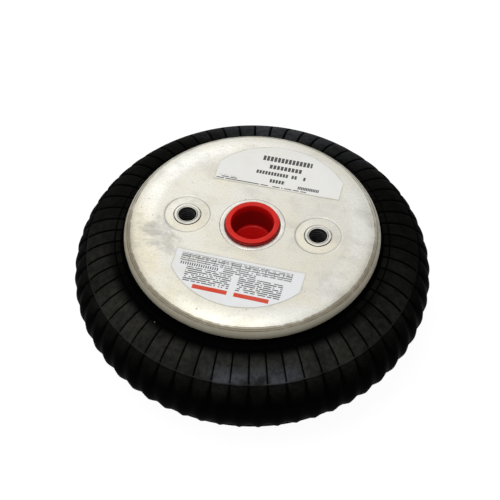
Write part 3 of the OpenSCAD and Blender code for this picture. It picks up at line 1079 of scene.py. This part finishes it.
nutSet = {
    "pitch": 25.4 / 16,
    "ridge": 0.92,
    "threadDepth": 14.0,
    "mouth": 4.95,
    "mouthDepth": 0.35,
    "mouthEdge": (0.12, 0.05),
    "ringLine": 5.4,  # radius of the fine groove in the face
    "ringHalf": 0.2,
    "ringDepth": 0.3,
    "nose": 6.9,
    "flange": 11.0,
    "flangeThick": 2.5,
    "body": 8.0,
    "round": 0.3,
    "sharpAngle": 50,
    "segments": 96,
}


def threadRun(radius, start, end, pitch):  # points down a bore with their thread weight
    count = round((end - start) / pitch * 10)
    depths = [start + (end - start) * i / count for i in range(count + 1)]
    weights = [max(0.0, min(1.0, (d - start) / pitch, (end - d) / pitch)) for d in depths]
    return [(radius, d) for d in depths], weights


def mouthOf(s):
    wide, deep = s["mouthEdge"]
    return [(s["mouth"], deep), (s["mouth"] + wide, 0)]


def flanged(s, depth):  # from the face, past the flange under the sheet, to the end of the body
    soft, nose, flange, body = s["round"], s["nose"], s["flange"], s["body"]
    under = sheet + s["flangeThick"]
    points = [(nose - soft, 0)] + swing(nose - soft, soft, soft, 20, 90, 4)
    points += [(nose, sheet), (flange - soft, sheet)]
    points += swing(flange - soft, sheet + soft, soft, 20, 90, 4)
    points += swing(flange - soft, under - soft, soft, 90, 180, 5)
    points += [(body + soft, under), (body, under + soft)]
    return points + swing(body - 2 * soft, depth - 2 * soft, 2 * soft, 90, 180, 6)


def blindNut(name, cadNode, body, side, top):
    n = nutSet
    bore, weights = threadRun(threadRadius, n["mouthDepth"], n["threadDepth"], n["pitch"])
    line, half = n["ringLine"], n["ringHalf"]
    outside = mouthOf(n) + [(line - half, 0), (line, n["ringDepth"]), (line + half, 0)]
    outside += flanged(n, nutDepth) + [(0, nutDepth)]
    points = [(0, n["threadDepth"] + threadRadius / 2)] + bore[::-1] + outside
    threads = [1.0] + weights[::-1] + [0.0] * len(outside)
    edge = n["nose"] - n["round"] * 0.3
    # points that take painted shade: the face's fine groove, the bore, and the nose in the sheet's hole
    paintedShade = [i for i, (r, d) in enumerate(points) if r in (line, threadRadius) or (r >= edge and d < sheet)]
    nut = turned(name, underTop(points), finishes["nut"], n["segments"], False,
                 threads, n["pitch"], n["ridge"], paintedShade)
    nut.data.transform(Matrix.Translation((side * nutPitch / 2 * mm, 0, 0)))
    if not top:  # the lower nuts are the same piece turned over
        middle = Matrix.Translation((0, 0, restHeight / 2 * mm))
        nut.data.transform(middle @ Matrix.Rotation(math.pi, 4, "X") @ middle.inverted())
    nut.data.set_sharp_from_angle(angle=math.radians(n["sharpAngle"]))
    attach(nut, body)
    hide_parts(cadNode)


for sideName, side in (("left", -1), ("right", 1)):
    label = sideName.capitalize()
    blindNut("topNut" + label, "top_blind_nut_" + sideName, "upper_end", side, True)
    blindNut("bottomNut" + label, "bottom_blind_nut_" + sideName, "lower_end", side, False)

bossSet = {
    "pitch": 25.4 / 14,
    "ridge": 1.1,
    "nose": 17.1,
    "mouth": 14.8,
    "mouthDepth": 2.0,
    "mouthEdge": (0.15, 0.06),
    "port": 12.8,
    "flange": 21.0,
    "flangeThick": 3.0,
    "body": 18.0,
    "round": 0.3,
    "sharpAngle": 50,
    "segments": 160,
}


def portBoss():
    b = bossSet
    soft = b["round"]
    points = mouthOf(b) + flanged(b, bossDepth) + [(b["port"] + 2 * soft, bossDepth)]
    bore, weights = threadRun(b["port"], b["mouthDepth"], bossDepth - 2 * soft, b["pitch"])
    threads = [0.0] * len(points) + weights[::-1]
    boss = turned("portBoss", underTop(points + bore[::-1]), finishes["boss"], b["segments"], True,
                  threads, b["pitch"], b["ridge"])
    boss.data.set_sharp_from_angle(angle=math.radians(b["sharpAngle"]))
    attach(boss, "upper_end")
    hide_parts("air_port_boss")


portBoss()
print("nuts and port made")


# Port plug

def portPlug():
    c = capSet
    soft, bend, edge, small = c["lipRound"], c["floorRound"], c["edgeRound"], c["discRound"]
    top = -plugTop
    under = top + c["flangeThick"]
    discTop = under + c["grooveWide"]
    floor = plugFloor - c["wall"]
    mouth = c["cup"] - c["wall"]
    base = mouth - c["taper"]
    points = [(0, floor - c["gateRise"]), (c["gate"] * 0.7, floor - 0.88 * c["gateRise"]), (c["gate"], floor)]
    points += swing(base - bend, floor - bend, bend, 180, 96, 7)
    points += [(mouth - 0.05, top + 2.5)]
    points += swing(mouth + soft, top + soft, soft, -84, 0, 6)
    points += swing(c["flange"] - soft, top + soft, soft, 0, 90, 7)
    points += swing(c["flange"] - edge, under - edge, edge, 90, 180, 4)
    points += [(c["groove"], under), (c["groove"], discTop)]
    points += swing(c["disc"] - edge, discTop + edge, edge, 0, 90, 4)
    points += swing(c["disc"] - small, c["discDepth"] - small, small, 90, 180, 3)
    points += [(c["cup"], c["discDepth"])]
    points += swing(c["cup"] - c["taper"] - bend, plugFloor - bend, bend, 84, 180, 7)
    points += [(0, plugFloor)]
    plug = turned("portPlug", underTop(points), finishes["plug"], c["segments"], False)
    plug.data.set_sharp_from_angle(angle=math.radians(c["sharpAngle"]))
    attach(plug, "plug")
    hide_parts("port_plug")


portPlug()
print("plug made")


# Bellows: cover with moulded ribs, two cord plies and a liner

wallSet = {
    "cover": 1.8,
    "ply": 0.8,
    "liner": 1.2,
    "layerGap": 0.1,
    "neckGap": 0.5,
    "beadGap": 0.3,
    "steps": 36,  # round the bulge
    "coverSteps": 16,  # and on the cover's plain inside
    "segments": 240,
}

ribSet = {
    "outside": 95.75,
    "count": 58,
    "samples": 10,  # points from one groove to the next
    "crowding": 0.7,  # how far they crowd together at the groove
    "turn": 1.6,  # degrees from X to the first groove
    "height": 1.5,
    "growth": 0.9,
    "pillow": 0.16,
    "grooveStart": 0.65,  # half width of a groove near the rim
    "grooveOut": 5.6,  # and at the equator
    "grooveFill": 0.32,  # share of the depth that is filled at the equator
    "ridgeProud": 0.1,  # mm by which the parting ridge stands over the ribs
    "bandStart": 4.0,  # degrees from the crown, as are all below but dipShare
    "ringGroove": 10.4,
    "ringHalf": 0.95,
    "partingAt": 47.0,
    "partingHalf": 0.9,
    "partingDip": 49.4,
    "dipHalf": 1.6,
    "dipShare": 0.45,
    "spread": (48, 84),  # the grooves widen
    "spreadEnd": (140, 168),  # and narrow again
    "fillEnd": (10, 36),  # from the equator
    "runs": ((0, 3, 2), (3, 5.4, 4), (5.4, 9.2, 3), (9.2, 11.6, 8), (11.6, 45, 8),
             (45, 49, 12), (49, 52, 4), (52, 90, 10)),  # start, end and steps down to the equator
}

neckDepth = rollDepth + plateSet["rollRadius"] + wallSet["neckGap"]
bulge = restHeight / 2 - neckDepth
bulgeAt = ribSet["outside"] - ribSet["height"] - bulge
bendRadius = neckDepth - tipDepth
legDepth = dome(tipAt - bendRadius) + sheet + wallSet["beadGap"]


def wallSide(offset, crowns):  # one side of a layer, from the lower leg to the upper one
    lower = [(tipAt - bendRadius - offset, legDepth)]
    lower += swing(tipAt, tipDepth, bendRadius + offset, 270, 180, 6)
    reach = bulge - offset
    turns = [math.radians(angle) for angle in crowns]
    bow = [(bulgeAt + reach * math.sin(turn), restHeight / 2 - reach * math.cos(turn)) for turn in turns]
    upper = [(r, restHeight - z) for r, z in reversed(lower)]
    return lower, bow, upper


def plainSide(offset, steps):
    return sum(wallSide(offset, [180 * i / steps for i in range(steps + 1)]), [])


def wallLayer(name, offset, thick, finish):
    outer = plainSide(offset, wallSet["steps"])
    inner = plainSide(offset + thick, wallSet["steps"])
    return turned(name, outer + inner[::-1], finish, wallSet["segments"], True)


def ribHeight(crown):
    return ribSet["height"] - ribSet["growth"] * (1 - math.sin(math.radians(crown)))


def dip(crown, middle, half):  # 1 along the middle of a ring groove, 0 beside it
    return 1 - ease(half * 0.35, half, abs(crown - middle))


def landAt(crown):  # height of the ribs at an angle from the crown
    rise = ribHeight(crown) * ease(ribSet["bandStart"] - 1, ribSet["bandStart"] + 1, crown)
    rise *= 1 - dip(crown, ribSet["ringGroove"], ribSet["ringHalf"])
    return rise * (1 - ribSet["dipShare"] * dip(crown, ribSet["partingDip"], ribSet["dipHalf"]))


def ringAt(crown):  # height of the fine ridge along the parting line
    share = math.exp(-((crown - ribSet["partingAt"]) / ribSet["partingHalf"]) ** 2)
    return (ribHeight(crown) + ribSet["ridgeProud"]) * share if share > 0.01 else 0.0


def grooveAt(crown):  # half width of a groove at an angle from the upper crown
    spread = ease(*ribSet["spread"], crown) * (1 - ease(*ribSet["spreadEnd"], crown))
    return ribSet["grooveStart"] + (ribSet["grooveOut"] - ribSet["grooveStart"]) * spread


def fillAt(crown):  # the grooves are shallower round the equator
    return ribSet["grooveFill"] * (1 - ease(*ribSet["fillEnd"], abs(crown - 90)))


def ribbedTree():
    tree, given = newTree("ribbedBellows", {
        "Section": "Object", "Finish": "Material", "Rib Count": "Int", "Samples": "Int",
        "First Groove": "Float", "Pillow": "Float", "Crowding": "Float",
    })
    around = times(given["Rib Count"], given["Samples"])
    section, grid, step, along = sectionGrid(given, around)
    radius, height, land, ring, half, fill, outward, upward = sampled(
        section, along, "sectionRadius", "sectionHeight", "landHeight", "ringHeight",
        "grooveHalf", "grooveFill", "normalRadius", "normalHeight")

    ribs = calc("ADD", over(step, given["Samples"]), 0.0001)  # safely past a whole rib
    whole = calc("FLOOR", ribs)
    share = calc("FRACT", ribs)
    wave = calc("SINE", times(share, 2 * math.pi))
    pull = times(wave, over(given["Crowding"], 2 * math.pi))
    share = minus(share, pull)  # points crowd together at the grooves
    turn = over(calc("ADD", whole, share), given["Rib Count"])
    turn = plus(turn, 2 * math.pi, given["First Groove"])

    pitch = over(times(radius, 2 * math.pi), given["Rib Count"])
    near = times(calc("MINIMUM", share, minus(1.0, share)), pitch)
    rise = over(near, half, clamp=True)
    rise = times(rise, rise, plus(rise, -2.0, 3.0))
    rise = plus(rise, minus(1.0, fill), fill)
    side = plus(share, 2.0, -1.0)
    swell = times(side, side, given["Pillow"])
    relief = times(land, minus(rise, times(swell, rise)))
    relief = most(relief, ring)
    level = plus(relief, upward, height)
    closeTree(given, grid, plus(relief, outward, radius), turn, level, {
        "landMask": over(relief, most(land, 0.1 * mm), clamp=True),
        "restLevel": level,
        "ridgeMask": over(ring, ribSet["height"] * mm, clamp=True),
        "ribTone": node("ShaderNodeTexWhiteNoise", {"W": whole}, noise_dimensions="1D").outputs["Value"],
    })
    return tree


def bellowsCover():
    half = [start + (end - start) * i / steps for start, end, steps in ribSet["runs"] for i in range(steps)]
    crowns = half + [90] + [180 - angle for angle in reversed(half)]
    lower, bow, upper = wallSide(0, crowns)
    inner = plainSide(wallSet["cover"], wallSet["coverSteps"])
    points = lower + bow + upper + inner[::-1] + lower[:1]
    before, after = len(lower), len(points) - len(lower) - len(bow)
    fold = [min(angle, 180 - angle) for angle in crowns]

    def padded(values, rest=0.0):
        return [rest] * before + values + [rest] * after

    section = sectionObject("coverSection", points, {
        "landHeight": padded([landAt(angle) * mm for angle in fold]),
        "ringHeight": padded([ringAt(angle) * mm for angle in fold]),
        "grooveHalf": padded([grooveAt(180 - angle) * mm for angle in crowns], mm),
        "grooveFill": padded([fillAt(angle) for angle in crowns]),
        "normalRadius": padded([math.sin(math.radians(angle)) for angle in crowns]),
        "normalHeight": padded([-math.cos(math.radians(angle)) for angle in crowns]),
    })
    return grow("bellowsCover", ribbedTree(), section, {
        "Finish": finishes["rubber"], "Rib Count": ribSet["count"], "Samples": ribSet["samples"],
        "First Groove": math.radians(ribSet["turn"]), "Pillow": ribSet["pillow"],
        "Crowding": ribSet["crowding"],
    })


def stretchWithStroke(piece, cadNode):
    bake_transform(piece)
    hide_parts(cadNode)


stretchWithStroke(bellowsCover(), "bellows_cover")
layerAt = wallSet["cover"] + wallSet["layerGap"]
for name, cadNode, thick, finish, slotName in (
    ("outerPly", "outer_cord_ply", wallSet["ply"], finishes["outerCord"], "cord_fabric"),
    ("innerPly", "inner_cord_ply", wallSet["ply"], finishes["innerCord"], "cord_fabric"),
    ("innerLiner", "inner_liner", wallSet["liner"], finishes["liner"], "liner_rubber"),
):
    stretchWithStroke(wallLayer(name, layerAt, thick, finish), cadNode)
    layerAt += thick + wallSet["layerGap"]


# Pieces that keep their solid from the frame

for cadNode, finish in (
    ("type_label", "type"), ("data_label", "data"),
    ("lower_bead_wire", "wire"), ("upper_bead_wire", "wire"),
    ("lower_bead_filler", "beadRubber"), ("upper_bead_filler", "beadRubber"),
):
    kept = frame["nodes"][cadNode].data
    kept.materials.clear()
    kept.materials.append(finishes[finish])
